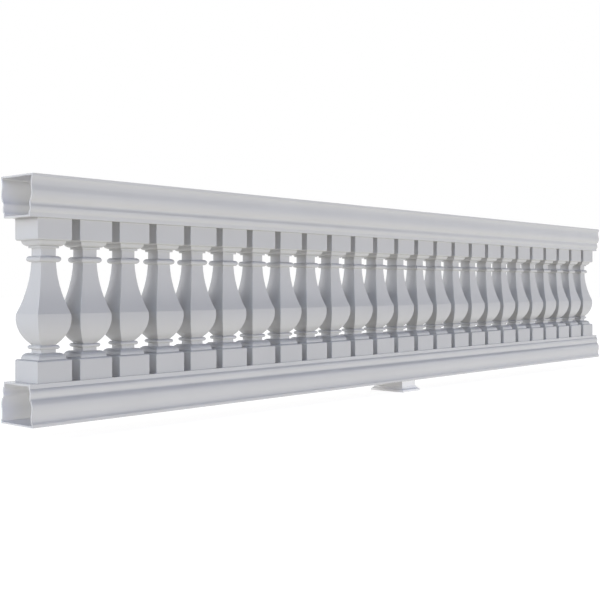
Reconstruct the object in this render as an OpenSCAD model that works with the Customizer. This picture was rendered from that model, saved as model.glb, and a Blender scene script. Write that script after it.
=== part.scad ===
// Moulded balustrade section: square vase balusters between two hollow moulded rails,
// with one flanged support foot under the middle of the bottom rail.
// Millimetres. X runs along the rails, Y across them and Z up.
// The origin is on the ground, under the middle of the support foot.

/* [Layout] */
// Number of balusters in the section
baluster_count = 25; // [3:2:45]
// Clear gap between the blocks of neighbouring balusters
block_gap = 31.75; // [25:0.25:80]
// Length of rail past the last block at each end
end_margin = 35; // [10:0.25:150]

/* [Baluster] */
// Height from rail to rail
baluster_h = 518; // [430:1:700]
// Width of the square blocks at the foot and the head
block_w = 127; // [126:1:146]
// Height of the block at the foot
foot_block_h = 70; // [40:1:110]
// Height of the block at the head
head_block_h = 70; // [40:1:110]
// Radius of the rounded edge round each block
arris_r = 6; // [1:0.5:12]
// Width of the quarter-round next to each block
ovolo_w = 101; // [92:1:112]
// Radius of the quarter-round next to each block
ovolo_r = 17.5; // [8:0.5:22]
// Height of the upright step under the lower quarter-round
foot_step_h = 3; // [1:0.5:8]
// Width of the narrow necks
neck_w = 54.5; // [44:0.5:60]
// Reach of the flat part of the beads, out from the neck
bead_reach = 2.5; // [1:0.5:4]
// Length of the neck over the lower quarter-round
foot_neck_h = 11.5; // [4:0.5:30]
// Height of the half-round bead under the bulb
foot_bead_h = 13; // [8:0.5:24]
// Gap between that bead and the bulb
quirk_h = 1; // [0.5:0.5:10]
// Width of the bulb at its widest
bulb_w = 125; // [90:1:126]
// Height from the start of the bulb to its widest level
bulb_rise = 84; // [50:1:120]
// Height from the widest level to the crease where the taper starts
bulb_crown = 15; // [5:1:40]
// Height of the half-round bead over the taper
head_bead_h = 19.5; // [10:0.5:30]
// Length of the neck over that bead
head_neck_h = 25; // [8:0.5:60]
// Width of the fillet under the upper quarter-round
fillet_w = 69; // [60:0.5:84]
// Height of the fillet under the upper quarter-round
fillet_h = 6; // [3:0.5:20]

/* [Rails] */
// Width of a rail at its wide face
rail_w = 178; // [165:1:240]
// Height of a rail
rail_h = 133; // [126:1:200]
// Wall thickness of the hollow rails
wall = 6; // [3:0.5:10]
// Height of the flat edge at the wide face
lip_h = 9.5; // [6:0.5:16]
// Height of the cove, from the flat edge to its deepest level
cove_h = 17; // [10:0.5:23]
// Depth of the cove, in from the flat edge
cove_depth = 5; // [2:0.5:10]
// Height of the wave, from the cove out to the crest
wave_h = 34; // [20:0.5:40]
// Rise of the crest out of the cove
crest_rise = 4.2; // [1:0.1:7]
// Height of the shoulder, from the crest to the groove
shoulder_h = 29.5; // [18:0.5:35]
// Depth of the groove, in from the crest
groove_depth = 11.9; // [6:0.1:15]
// Height from the groove out to the top of the bead
bead_h = 15; // [9:0.5:21]
// Rise of the bead out of the groove
bead_rise = 3; // [0.5:0.1:6]
// Height from the top of the bead in to the narrow fillet
fall_h = 14; // [9:0.5:20]
// Depth of the narrow fillet, in from the bead
narrow_depth = 6; // [2:0.1:8]

/* [Support foot] */
// Height from the ground to the bottom rail
foot_h = 50; // [35:1:150]
// Length of the stem along the rail
stem_l = 102; // [60:1:160]
// Depth of the stem across the rail
stem_d = 152; // [80:1:176]
// Reach of the base plate past the stem, all round
plate_reach = 16; // [9:1:30]
// Thickness of the base plate
plate_h = 10; // [4:0.5:20]
// Reach of the base's top edge past the stem, all round
rim_reach = 5; // [2:0.5:12]
// Height of the base's top edge
rim_h = 2.5; // [1:0.5:8]
// Height of the hollow sweep between the plate and the top edge
sweep_h = 10.5; // [5:0.5:20]

/* [Hidden] */
finish = [0.78, 0.78, 0.80];
// Largest gap between an arc and the straight steps that it is drawn with
chord_gap = 0.1;
// Shares of the way at which the ogees of a rail turn
wave_turn = 0.5;
shoulder_turn = 0.8;
bead_turn = 0.45;
pitch = block_w + block_gap;
rail_l = (baluster_count - 1) * pitch + block_w + 2 * end_margin;
base_h = plate_h + sweep_h + rim_h;
bottom_rail_z = foot_h;
baluster_z = bottom_rail_z + rail_h;
top_rail_z = baluster_z + baluster_h;
// Levels in a baluster, up from its foot
foot_ovolo_z = foot_block_h + foot_step_h;
foot_neck_z = foot_ovolo_z + ovolo_r;
foot_bead_z = foot_neck_z + foot_neck_h;
bulb_z = foot_bead_z + foot_bead_h + quirk_h;
widest_z = bulb_z + bulb_rise;
crease_z = widest_z + bulb_crown;
// Levels in a baluster, down from its head
head_block_z = baluster_h - head_block_h;
head_ovolo_z = head_block_z - ovolo_r;
fillet_z = head_ovolo_z - fillet_h;
head_neck_z = fillet_z - head_neck_h;
head_bead_z = head_neck_z - head_bead_h;
// The bulb's side is one arc that is upright at the widest level
bulb_r = upright_r([(bulb_w - neck_w) / 2, bulb_rise]);
crease_w = bulb_w - 2 * arc_fall(bulb_r, bulb_crown);
// The taper's side is one arc that runs behind the bead and is upright at the neck
taper_r = upright_r([(crease_w - neck_w) / 2, head_neck_z - crease_z]);
taper_end_w = neck_w + 2 * arc_fall(taper_r, head_bead_h);
// Levels in a rail, from its wide face
cove_z = lip_h + cove_h;
crest_z = cove_z + wave_h;
groove_z = crest_z + shoulder_h;
bead_z = groove_z + bead_h;
narrow_z = bead_z + fall_h;
// Arcs of the cove, of the bead's fall and of the base's sweep, each upright at one end
cove_r = upright_r([cove_depth, cove_h]);
fall_r = upright_r([narrow_depth, fall_h]);
sweep_r = upright_r([plate_reach - rim_reach, sweep_h]);

function baluster_name(i) = str("baluster_", i < 10 ? "0" : "", i);

// Radius of an arc that is upright at one end and spans d, across and up
function upright_r(d) = (d.x * d.x + d.y * d.y) / (2 * d.x);

// How far an arc of radius r falls back at height h from where it is upright
function arc_fall(r, h) = r - sqrt(r * r - h * h);

// Arc up from a to b, without a itself, that bulges to the right or, with r below zero, hollows
function arc(a, b, r) =
    let (half = asin(min(1, norm(b - a) / (2 * abs(r)))))
    let (right = [b.y - a.y, a.x - b.x] / norm(b - a))
    let (centre = (a + b) / 2 - right * r * cos(half))
    let (steps = ceil(half / acos(1 - chord_gap / abs(r))))
    let (start = a - centre)
    [for (i = [1:steps])
        let (turn = sign(r) * 2 * half * i / steps)
        centre + [
            start.x * cos(turn) - start.y * sin(turn),
            start.x * sin(turn) + start.y * cos(turn)
        ]
    ];

// Half-round bead up from a to b, without a itself
function half_round(a, b) = arc(a, b, norm(b - a) / 2);

// Ogee up from a to b, without a itself, upright at both and turning at a share of the way:
// it bulges first where it leads in, and hollows first where it leads out
function ogee(a, b, share) =
    let (turn = a + (b - a) * share)
    let (r = upright_r(a - b))
    concat(arc(a, turn, r * share), arc(turn, b, r * (share - 1)));

// Closed outline from its right side, which is listed upwards
function both_sides(side) =
    concat(side, [for (i = [len(side) - 1:-1:0]) [-side[i].x, side[i].y]]);

// Right side of a baluster's elevation, from its foot to its head
function baluster_side() =
    let (half = block_w / 2)
    let (neck = neck_w / 2)
    let (foot_shoulder = [half, foot_block_h - arris_r])
    let (foot_step = [ovolo_w / 2, foot_block_h])
    let (foot_ovolo = [ovolo_w / 2, foot_ovolo_z])
    let (foot_bead = [neck + bead_reach, foot_bead_z])
    let (bulb = [neck, bulb_z])
    let (crease = [crease_w / 2, crease_z])
    let (taper_end = [taper_end_w / 2, head_bead_z])
    let (head_bead = [neck + bead_reach, head_bead_z])
    let (head_ovolo = [ovolo_w / 2 - ovolo_r, head_ovolo_z])
    let (head_shoulder = [half - arris_r, head_block_z])
    concat(
        [[half, 0], foot_shoulder],
        arc(foot_shoulder, foot_shoulder + [-arris_r, arris_r], arris_r),
        [foot_step, foot_ovolo],
        arc(foot_ovolo, foot_ovolo + [-ovolo_r, ovolo_r], ovolo_r),
        [[neck, foot_neck_z], [neck, foot_bead_z], foot_bead],
        half_round(foot_bead, foot_bead + [0, foot_bead_h]),
        [[neck, foot_bead_z + foot_bead_h], bulb],
        arc(bulb, crease, bulb_r),
        arc(crease, taper_end, -taper_r),
        [head_bead],
        half_round(head_bead, head_bead + [0, head_bead_h]),
        [[neck, head_neck_z], [neck, fillet_z], [fillet_w / 2, fillet_z], [fillet_w / 2, head_ovolo_z], head_ovolo],
        arc(head_ovolo, head_ovolo + [ovolo_r, ovolo_r], ovolo_r),
        [head_shoulder],
        arc(head_shoulder, head_shoulder + [arris_r, arris_r], arris_r),
        [[half, baluster_h]]
    );

// Right side of a rail's outline, moved in by inset, listed from the wide face
function rail_side(inset) =
    let (lip = [rail_w / 2 - inset, lip_h])
    let (cove = [lip.x - cove_depth, cove_z])
    let (crest = [cove.x + crest_rise, crest_z])
    let (groove = [crest.x - groove_depth, groove_z])
    let (bead = [groove.x + bead_rise, bead_z])
    let (narrow = [bead.x - narrow_depth, narrow_z])
    concat(
        [[lip.x, 0], lip],
        arc(lip, cove, -cove_r),
        ogee(cove, crest, wave_turn),
        ogee(crest, groove, shoulder_turn),
        ogee(groove, bead, bead_turn),
        arc(bead, narrow, fall_r),
        [[narrow.x, rail_h]]
    );

// Right side of the elevation of the base, under a stem of width w
function base_side(w) =
    let (plate = [w / 2 + plate_reach, plate_h])
    let (rim = [w / 2 + rim_reach, plate_h + sweep_h])
    concat(
        [[plate.x, 0], plate],
        arc(plate, rim, -sweep_r),
        [[rim.x, base_h]]
    );

// Solid with one elevation in X and one in Y, so that its mouldings meet in mitres at the corners
module mitred(side_x, side_y) {
    intersection() {
        rotate([90, 0, 0])
            linear_extrude(2 * side_y[0].x, center = true)
                polygon(both_sides(side_x));
        rotate([90, 0, 90])
            linear_extrude(2 * side_x[0].x, center = true)
                polygon(both_sides(side_y));
    }
}

// Hollow section of a rail, with its wide face at level zero
module rail_section() {
    difference() {
        polygon(both_sides(rail_side(0)));
        intersection() {
            polygon(both_sides(rail_side(wall)));
            translate([-rail_w / 2, wall])
                square([rail_w, rail_h - 2 * wall]);
        }
    }
}

// Rail with its wide face down, at level zero
module rail() {
    rotate([90, 0, 90])
        linear_extrude(rail_l, center = true)
            rail_section();
}

module top_rail() {
    color(finish)
        translate([0, 0, top_rail_z + rail_h])
            mirror([0, 0, 1])
                rail();
}

module bottom_rail() {
    color(finish)
        translate([0, 0, bottom_rail_z])
            rail();
}

module baluster(i) {
    color(finish)
        translate([(i - (baluster_count + 1) / 2) * pitch, 0, baluster_z])
            mitred(baluster_side(), baluster_side());
}

module support_stem() {
    color(finish)
        translate([-stem_l / 2, -stem_d / 2, base_h])
            cube([stem_l, stem_d, foot_h - base_h]);
}

module support_base() {
    color(finish)
        mitred(base_side(stem_l), base_side(stem_d));
}

top_rail();
bottom_rail();
support_stem();
support_base();
for (i = [1:baluster_count])
    baluster(i);
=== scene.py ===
"""Looks of the moulded balustrade section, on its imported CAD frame. Lengths are in metres."""
import math

import bpy
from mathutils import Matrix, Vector


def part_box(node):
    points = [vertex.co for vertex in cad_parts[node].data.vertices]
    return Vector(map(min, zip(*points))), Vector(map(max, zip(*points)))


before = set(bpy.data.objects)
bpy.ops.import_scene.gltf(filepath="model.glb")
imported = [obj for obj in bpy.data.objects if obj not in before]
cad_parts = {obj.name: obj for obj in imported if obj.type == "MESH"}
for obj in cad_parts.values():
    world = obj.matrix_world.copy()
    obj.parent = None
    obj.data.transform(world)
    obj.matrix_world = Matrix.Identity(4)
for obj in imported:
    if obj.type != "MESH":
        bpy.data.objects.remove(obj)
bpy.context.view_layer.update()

# Level camera, fitted to the photograph
CAMERA_PLACE = (-3.6668, -2.6628, 0.4880)
CAMERA_PITCH_DEG = 90.0
CAMERA_YAW_DEG = -48.37
LENS_MM = 57.885
SENSOR_MM = 36.0
SHIFT_Y = -0.0240

# Arrises of the moulded pieces
WELD_GAP = 0.00001
FLAT_ANGLE_DEG = 0.3
ARRIS_ANGLE_DEG = 28.0
ARRIS_WIDTH = 0.0008
ARRIS_STEPS = 2
# Height of the crease round a bulb over its baluster's foot
CREASE_RISE = 0.215
CREASE_BAND = 0.0005

# Linear colours of each finish, at its deepest and its palest; the rail, foot and inside tones hold
# painted light
BALUSTER_TONES = ((0.51, 0.51, 0.51), (0.53, 0.53, 0.53))
# Rails: painted light, a shade paler than the balusters so they render lighter than the balusters set
# between them
RAIL_TONES_PAINTED_LIGHT = ((0.53, 0.53, 0.53), (0.55, 0.55, 0.55))
# Foot: painted light, far paler than the balusters so it renders lit in the shade under the bottom rail
FOOT_TONES_PAINTED_LIGHT = ((0.79, 0.79, 0.79), (0.81, 0.81, 0.81))
# Rails' inside: painted light, its own bluer tone set for how light falls inside the hollow rails
INSIDE_TONES_PAINTED_LIGHT = ((0.52, 0.52, 0.55), (0.54, 0.54, 0.57))
# Roughness of each finish, at its smoothest and its roughest
SATIN_ROUGHNESS = (0.21, 0.25)
RAIL_ROUGHNESS = (0.15, 0.19)
INSIDE_ROUGHNESS = (0.45, 0.60)
BALUSTER_IOR = 1.58
RAIL_IOR = 1.80
# Clouds of tone, with the noise levels of the deepest and the palest tone, and a fine peel
CLOUD_SCALE = 5.0
CLOUD_DETAIL = 4.0
CLOUD_STOPS = (0.3, 0.7)
PEEL_SCALE = 420.0
PEEL_DETAIL = 2.0
PEEL_STRENGTH = 0.12
PEEL_HEIGHT = 0.0004

# Widths of the lamps' discs
SOFT_DEG = 30.0
NARROW_DEG = 4.0
# Far lamps: azimuth, elevation, linear colour on a surface that faces them, shadow or not, width of disc
LAMPS = {
    "front_fill": (285, -22, (0.53, 0.525, 0.455), False, SOFT_DEG),
    "front": (258, 18, (0.14, 0.155, 0.27), True, SOFT_DEG),
    "left_fill": (180, 0, (0.07, 0.07, 0.07), False, SOFT_DEG),
    "left": (175, 6, (0.60, 0.605, 0.62), True, SOFT_DEG),
    "left_back": (155, 14, (0.21, 0.22, 0.24), True, SOFT_DEG),
    "upper_left": (195, 40, (0.16, 0.19, 0.23), True, SOFT_DEG),
    "right": (5, 10, (0.40, 0.40, 0.40), True, SOFT_DEG),
    "back_fill": (48, 12, (0.48, 0.48, 0.48), False, SOFT_DEG),
    "top": (0, 90, (0.34, 0.34, 0.34), True, NARROW_DEG),
}

# White backdrop. What gloss mirrors of it fades out between two heights on the sky's unit sphere
WHITE = (1.0, 1.0, 1.0)
MIRRORED_WHITE_Z = 0.32
MIRRORED_END_Z = 0.42

# Floor: what lights the pieces, and what is seen and mirrored
FLOOR_SIZE = 60.0
FLOOR_COLOUR = (0.45, 0.45, 0.45)
FLOOR_GLOW = (0.14, 0.11, 0.07)
FLOOR_SEEN_COLOUR = (0.22, 0.22, 0.22)
FLOOR_SEEN_GLOW = 0.89


def add_node(tree, kind, **sockets):
    """A shader node with the given input sockets set."""
    node = tree.nodes.new(kind)
    for name, value in sockets.items():
        node.inputs[name].default_value = value
    return node


def rgba(colour):
    """A colour with full alpha."""
    return (*colour, 1.0)


def make_camera():
    """Camera at the photograph's angle."""
    data = bpy.data.cameras.new("camera")
    data.sensor_width = SENSOR_MM
    data.lens = LENS_MM
    data.shift_y = SHIFT_Y
    camera = bpy.data.objects.new("camera", data)
    camera.location = CAMERA_PLACE
    camera.rotation_euler = (math.radians(CAMERA_PITCH_DEG), 0, math.radians(CAMERA_YAW_DEG))
    bpy.context.scene.collection.objects.link(camera)
    bpy.context.scene.camera = camera


def make_lamp(name, azimuth_deg, elevation_deg, colour, shadow, disc_deg):
    """Far lamp, which gloss doesn't mirror. A white surface that faces it renders in its colour."""
    azimuth = math.radians(azimuth_deg)
    elevation = math.radians(elevation_deg)
    level = max(colour)
    data = bpy.data.lights.new(name, "SUN")
    data.energy = math.pi * level
    data.color = [part / level for part in colour]
    data.angle = math.radians(disc_deg)
    data.use_shadow = shadow
    lamp = bpy.data.objects.new(name, data)
    lamp.visible_glossy = False
    flat = math.cos(elevation)
    where = Vector((flat * math.cos(azimuth), flat * math.sin(azimuth), math.sin(elevation)))
    lamp.rotation_euler = where.to_track_quat("Z", "Y").to_euler()
    bpy.context.scene.collection.objects.link(lamp)


def seen_ray(tree):
    """Socket that is one for rays that show the background: from the camera, a gloss or a clear body."""
    path = tree.nodes.new("ShaderNodeLightPath")
    seen = path.outputs["Is Camera Ray"]
    for name in ("Is Glossy Ray", "Is Transmission Ray"):
        either = tree.nodes.new("ShaderNodeMath")
        either.operation = "MAXIMUM"
        tree.links.new(seen, either.inputs[0])
        tree.links.new(path.outputs[name], either.inputs[1])
        seen = either.outputs[0]
    return seen


def make_world():
    """White backdrop that is seen and mirrored, and gives no light of its own: the lamps do that."""
    world = bpy.data.worlds.new("studio")
    world.use_nodes = True
    bpy.context.scene.world = world
    tree = world.node_tree
    tree.nodes.clear()
    place = tree.nodes.new("ShaderNodeTexCoord")
    split = tree.nodes.new("ShaderNodeSeparateXYZ")
    fade = tree.nodes.new("ShaderNodeMapRange")
    fade.inputs["From Min"].default_value = MIRRORED_WHITE_Z
    fade.inputs["From Max"].default_value = MIRRORED_END_Z
    fade.inputs["To Min"].default_value = 1.0
    fade.inputs["To Max"].default_value = 0.0
    path = tree.nodes.new("ShaderNodeLightPath")
    level = tree.nodes.new("ShaderNodeMath")
    level.operation = "MAXIMUM"
    backdrop = add_node(tree, "ShaderNodeBackground", Color=rgba(WHITE))
    dark = add_node(tree, "ShaderNodeBackground", Strength=0.0)
    mix = tree.nodes.new("ShaderNodeMixShader")
    out = tree.nodes.new("ShaderNodeOutputWorld")
    tree.links.new(place.outputs["Generated"], split.inputs[0])
    tree.links.new(split.outputs["Z"], fade.inputs["Value"])
    tree.links.new(path.outputs["Is Camera Ray"], level.inputs[0])
    tree.links.new(fade.outputs[0], level.inputs[1])
    tree.links.new(level.outputs[0], backdrop.inputs["Strength"])
    tree.links.new(seen_ray(tree), mix.inputs[0])
    tree.links.new(dark.outputs[0], mix.inputs[1])
    tree.links.new(backdrop.outputs[0], mix.inputs[2])
    tree.links.new(mix.outputs[0], out.inputs["Surface"])


def make_floor():
    """Plain pale floor, which is seen as white with the faint shadow of the pieces."""
    mesh = bpy.data.meshes.new("floor")
    half = FLOOR_SIZE / 2
    corners = [(-half, -half, 0), (half, -half, 0), (half, half, 0), (-half, half, 0)]
    mesh.from_pydata(corners, [], [(0, 1, 2, 3)])
    floor = bpy.data.objects.new("floor", mesh)
    bpy.context.scene.collection.objects.link(floor)
    material = bpy.data.materials.new("floor")
    material.use_nodes = True
    mesh.materials.append(material)
    tree = material.node_tree
    tree.nodes.clear()
    diffuse = add_node(tree, "ShaderNodeBsdfDiffuse", Color=rgba(FLOOR_COLOUR))
    glow = add_node(tree, "ShaderNodeEmission", Color=rgba(FLOOR_GLOW))
    seen_diffuse = add_node(tree, "ShaderNodeBsdfDiffuse", Color=rgba(FLOOR_SEEN_COLOUR))
    seen_glow = add_node(tree, "ShaderNodeEmission", Strength=FLOOR_SEEN_GLOW)
    lit = tree.nodes.new("ShaderNodeAddShader")
    seen = tree.nodes.new("ShaderNodeAddShader")
    mix = tree.nodes.new("ShaderNodeMixShader")
    out = tree.nodes.new("ShaderNodeOutputMaterial")
    for pair, both in (((diffuse, glow), lit), ((seen_diffuse, seen_glow), seen)):
        for i, shader in enumerate(pair):
            tree.links.new(shader.outputs[0], both.inputs[i])
    tree.links.new(seen_ray(tree), mix.inputs[0])
    tree.links.new(lit.outputs[0], mix.inputs[1])
    tree.links.new(seen.outputs[0], mix.inputs[2])
    tree.links.new(mix.outputs[0], out.inputs["Surface"])


def make_shell(name, tones, roughness, ior):
    """Moulded resin with soft clouds of tone and a fine peel."""
    material = bpy.data.materials.new(name)
    material.use_nodes = True
    tree = material.node_tree
    tree.nodes.clear()
    place = tree.nodes.new("ShaderNodeTexCoord")
    cloud = add_node(tree, "ShaderNodeTexNoise", Scale=CLOUD_SCALE, Detail=CLOUD_DETAIL)
    tone = tree.nodes.new("ShaderNodeValToRGB")
    for end, colour, position in zip(tone.color_ramp.elements, tones, CLOUD_STOPS):
        end.color = rgba(colour)
        end.position = position
    peel = add_node(tree, "ShaderNodeTexNoise", Scale=PEEL_SCALE, Detail=PEEL_DETAIL)
    bump = add_node(tree, "ShaderNodeBump", Strength=PEEL_STRENGTH, Distance=PEEL_HEIGHT)
    gloss = tree.nodes.new("ShaderNodeMapRange")
    gloss.inputs["To Min"].default_value = roughness[0]
    gloss.inputs["To Max"].default_value = roughness[1]
    shader = add_node(tree, "ShaderNodeBsdfPrincipled", IOR=ior)
    out = tree.nodes.new("ShaderNodeOutputMaterial")
    for texture in (cloud, peel):
        tree.links.new(place.outputs["Object"], texture.inputs["Vector"])
    tree.links.new(cloud.outputs["Fac"], tone.inputs[0])
    tree.links.new(cloud.outputs["Fac"], gloss.inputs["Value"])
    tree.links.new(peel.outputs["Fac"], bump.inputs["Height"])
    tree.links.new(tone.outputs[0], shader.inputs["Base Color"])
    tree.links.new(gloss.outputs[0], shader.inputs["Roughness"])
    tree.links.new(bump.outputs[0], shader.inputs["Normal"])
    tree.links.new(shader.outputs[0], out.inputs["Surface"])
    return material


def start_faces(name):
    """New node group that shades all faces smooth. Returns its tree and the socket to go on from."""
    tree = bpy.data.node_groups.new(name, "GeometryNodeTree")
    tree.interface.new_socket("Geometry", in_out="INPUT", socket_type="NodeSocketGeometry")
    tree.interface.new_socket("Geometry", in_out="OUTPUT", socket_type="NodeSocketGeometry")
    start = tree.nodes.new("NodeGroupInput")
    smooth = tree.nodes.new("GeometryNodeSetShadeSmooth")
    tree.links.new(start.outputs[0], smooth.inputs["Geometry"])
    return tree, smooth.outputs[0]


def end_faces(tree, socket):
    """Ends a node group with the given socket."""
    end = tree.nodes.new("NodeGroupOutput")
    tree.links.new(socket, end.inputs[0])
    return tree


def baluster_faces(crease_z):
    """Smooth faces with a crisp crease round the bulb, at level crease_z."""
    tree, smooth = start_faces("baluster_faces")
    place = tree.nodes.new("GeometryNodeInputPosition")
    split = tree.nodes.new("ShaderNodeSeparateXYZ")
    at_crease = tree.nodes.new("FunctionNodeCompare")
    at_crease.operation = "EQUAL"
    at_crease.inputs["B"].default_value = crease_z
    at_crease.inputs["Epsilon"].default_value = CREASE_BAND
    crisp = tree.nodes.new("GeometryNodeSetShadeSmooth")
    crisp.domain = "EDGE"
    crisp.inputs["Shade Smooth"].default_value = False
    tree.links.new(place.outputs[0], split.inputs[0])
    tree.links.new(split.outputs["Z"], at_crease.inputs["A"])
    tree.links.new(at_crease.outputs[0], crisp.inputs["Selection"])
    tree.links.new(smooth, crisp.inputs["Geometry"])
    return end_faces(tree, crisp.outputs[0])


def rail_faces(name, centre_z, inside):
    """Smooth faces, with the finish called inside, whose tone is painted light, on the faces that look
    at the rail's own axis.
    """
    tree, smooth = start_faces(name)
    place = tree.nodes.new("GeometryNodeInputPosition")
    from_axis = tree.nodes.new("ShaderNodeVectorMath")
    from_axis.operation = "SUBTRACT"
    from_axis.inputs[1].default_value = (0, 0, centre_z)
    across = tree.nodes.new("ShaderNodeVectorMath")
    across.operation = "MULTIPLY"
    across.inputs[1].default_value = (0, 1, 1)
    normal = tree.nodes.new("GeometryNodeInputNormal")
    facing = tree.nodes.new("ShaderNodeVectorMath")
    facing.operation = "DOT_PRODUCT"
    inward = tree.nodes.new("FunctionNodeCompare")
    inward.operation = "LESS_THAN"
    inward.inputs["B"].default_value = -WELD_GAP
    finish = tree.nodes.new("GeometryNodeSetMaterial")
    finish.inputs["Material"].default_value = inside
    tree.links.new(place.outputs[0], from_axis.inputs[0])
    tree.links.new(from_axis.outputs[0], across.inputs[0])
    tree.links.new(across.outputs[0], facing.inputs[0])
    tree.links.new(normal.outputs[0], facing.inputs[1])
    tree.links.new(facing.outputs["Value"], inward.inputs["A"])
    tree.links.new(inward.outputs[0], finish.inputs["Selection"])
    tree.links.new(smooth, finish.inputs["Geometry"])
    return end_faces(tree, finish.outputs[0])


def dress(piece, material, faces):
    """Gives a CAD piece its finish and the small rounded arrises of a moulding."""
    piece.data.materials.clear()
    piece.data.materials.append(material)
    weld = piece.modifiers.new("weld", "WELD")
    weld.merge_threshold = WELD_GAP
    flat = piece.modifiers.new("flat", "DECIMATE")
    flat.decimate_type = "DISSOLVE"
    flat.angle_limit = math.radians(FLAT_ANGLE_DEG)
    shade = piece.modifiers.new("shade", "NODES")
    shade.node_group = faces
    arris = piece.modifiers.new("arris", "BEVEL")
    arris.limit_method = "ANGLE"
    arris.angle_limit = math.radians(ARRIS_ANGLE_DEG)
    arris.width = ARRIS_WIDTH
    arris.segments = ARRIS_STEPS
    normals = piece.modifiers.new("normals", "WEIGHTED_NORMAL")
    normals.keep_sharp = True


make_camera()
make_world()
make_floor()
for lamp, settings in LAMPS.items():
    make_lamp(lamp, *settings)

baluster_shell = make_shell("baluster_shell", BALUSTER_TONES, SATIN_ROUGHNESS, BALUSTER_IOR)
# Rails' shell: its paler tone is painted light
rail_shell_painted_light = make_shell("rail_shell_painted_light", RAIL_TONES_PAINTED_LIGHT, RAIL_ROUGHNESS, RAIL_IOR)
# Foot's shell: its far paler tone is painted light
foot_shell_painted_light = make_shell("foot_shell_painted_light", FOOT_TONES_PAINTED_LIGHT, SATIN_ROUGHNESS, RAIL_IOR)
# Inside of the rails: its own tone is painted light
rail_inside_painted_light = make_shell("rail_inside_painted_light", INSIDE_TONES_PAINTED_LIGHT, INSIDE_ROUGHNESS, BALUSTER_IOR)
creased = baluster_faces(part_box("baluster_01")[0][2] + CREASE_RISE)
plain = end_faces(*start_faces("plain_faces"))
for name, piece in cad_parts.items():
    if name.startswith("baluster"):
        dress(piece, baluster_shell, creased)
    elif name.endswith("rail"):
        low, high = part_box(name)
        dress(piece, rail_shell_painted_light, rail_faces(name + "_faces", (low[2] + high[2]) / 2, rail_inside_painted_light))
    else:
        dress(piece, foot_shell_painted_light, plain)

bpy.context.scene.view_settings.view_transform = "Standard"
